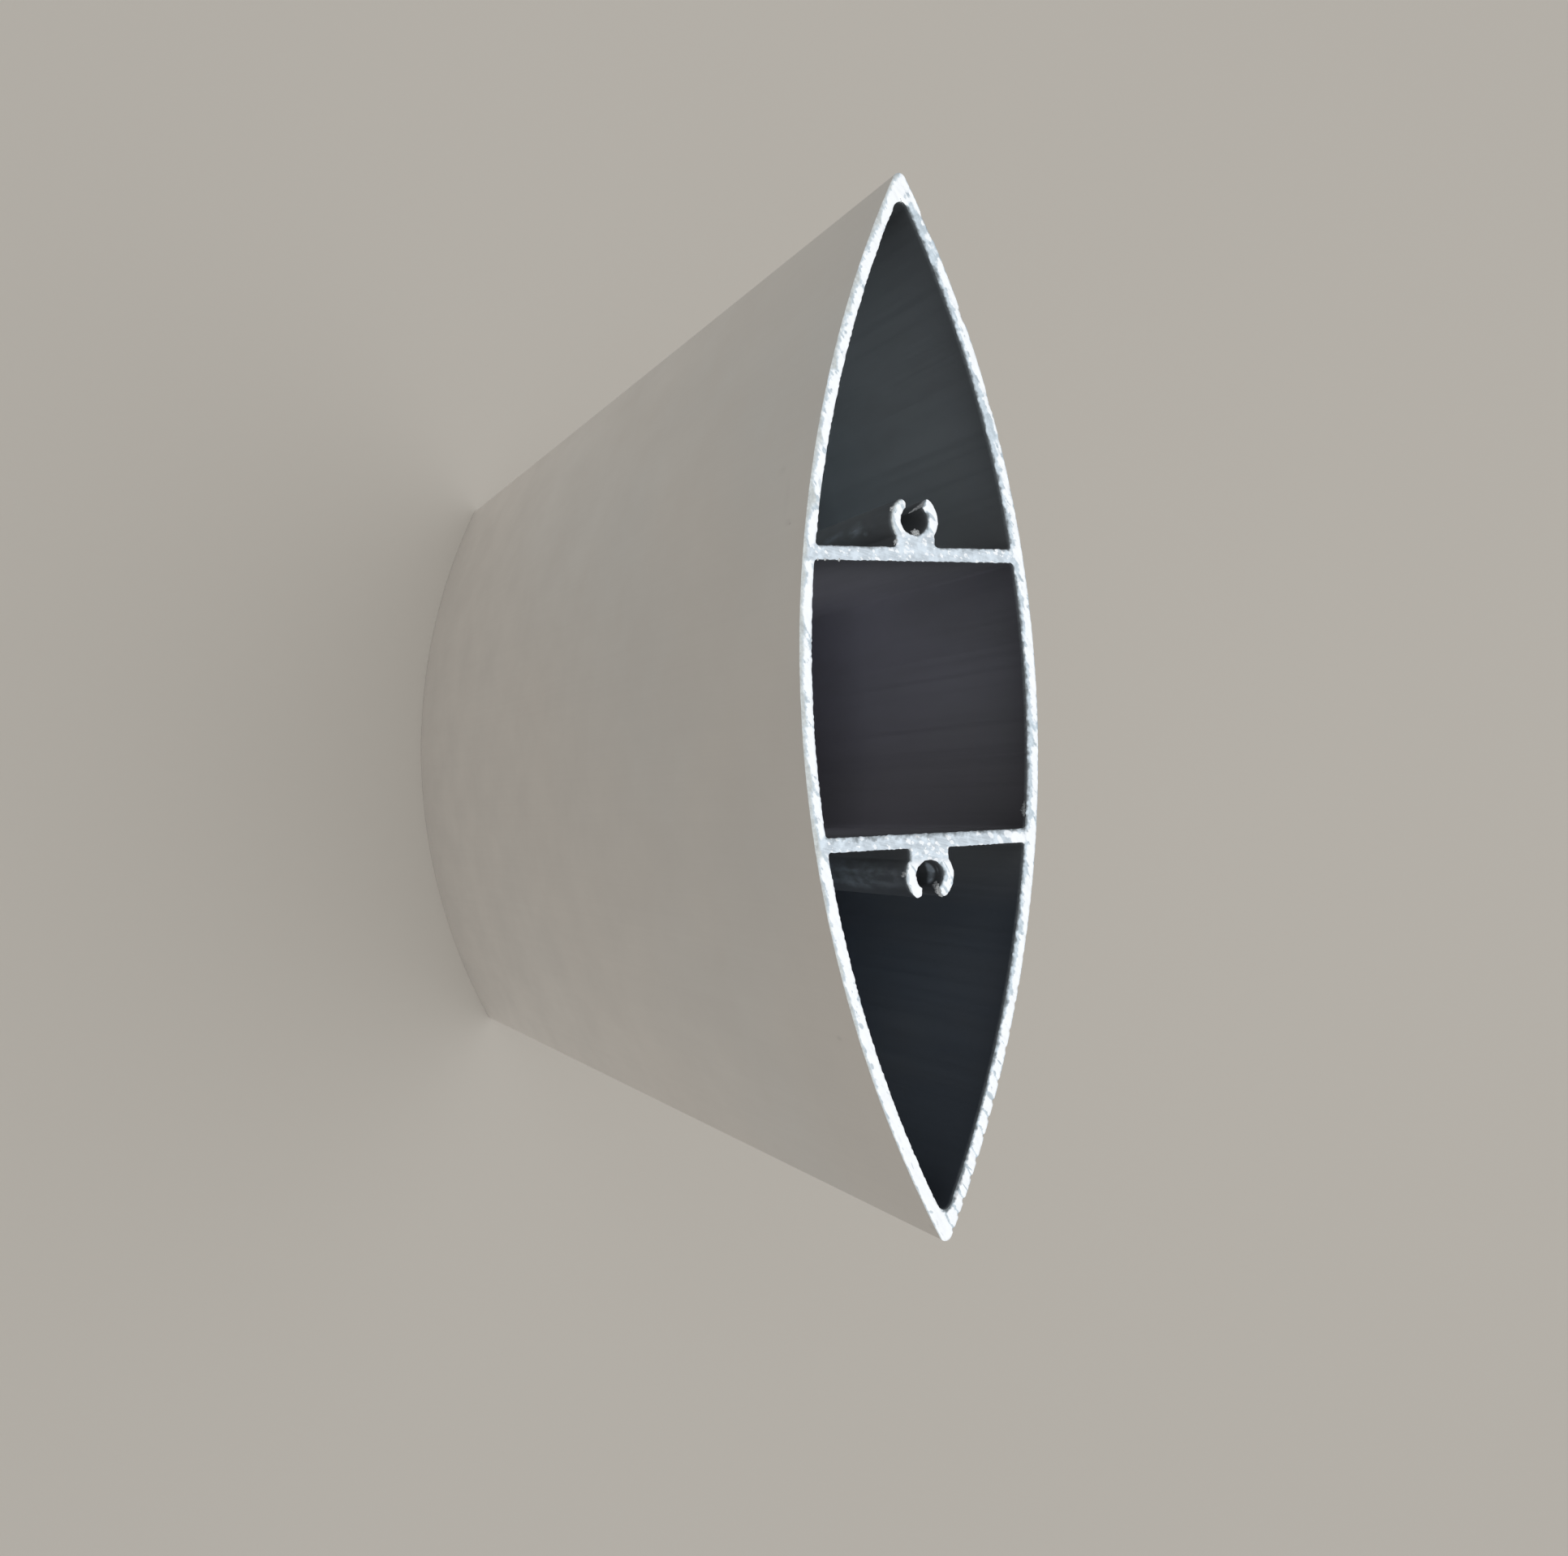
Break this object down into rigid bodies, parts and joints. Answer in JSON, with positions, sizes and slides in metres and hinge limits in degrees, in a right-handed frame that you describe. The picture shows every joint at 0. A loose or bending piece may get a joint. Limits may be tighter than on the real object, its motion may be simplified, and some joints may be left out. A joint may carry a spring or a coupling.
{
  "type": "aluminium extrusion profile",
  "caption": "Hollow lens-shaped louvre blade extrusion with inner webs and open screw ports, sawn square at both ends.",
  "frame": {"origin": "middle of the lower saw-cut end", "axes": "+Z along the extrusion to the upper saw-cut end, X along the chord from nose to nose, Y through the thickness"},
  "size_m": [0.15, 0.037, 0.285],
  "materials": {
    "mill_aluminium": "satin mill finish with fine lengthwise die lines; bright, coarse saw-cut ends"
  },
  "bodies": {
    "root": {"louvre_blade": "mill_aluminium"}
  },
  "joints": []
}
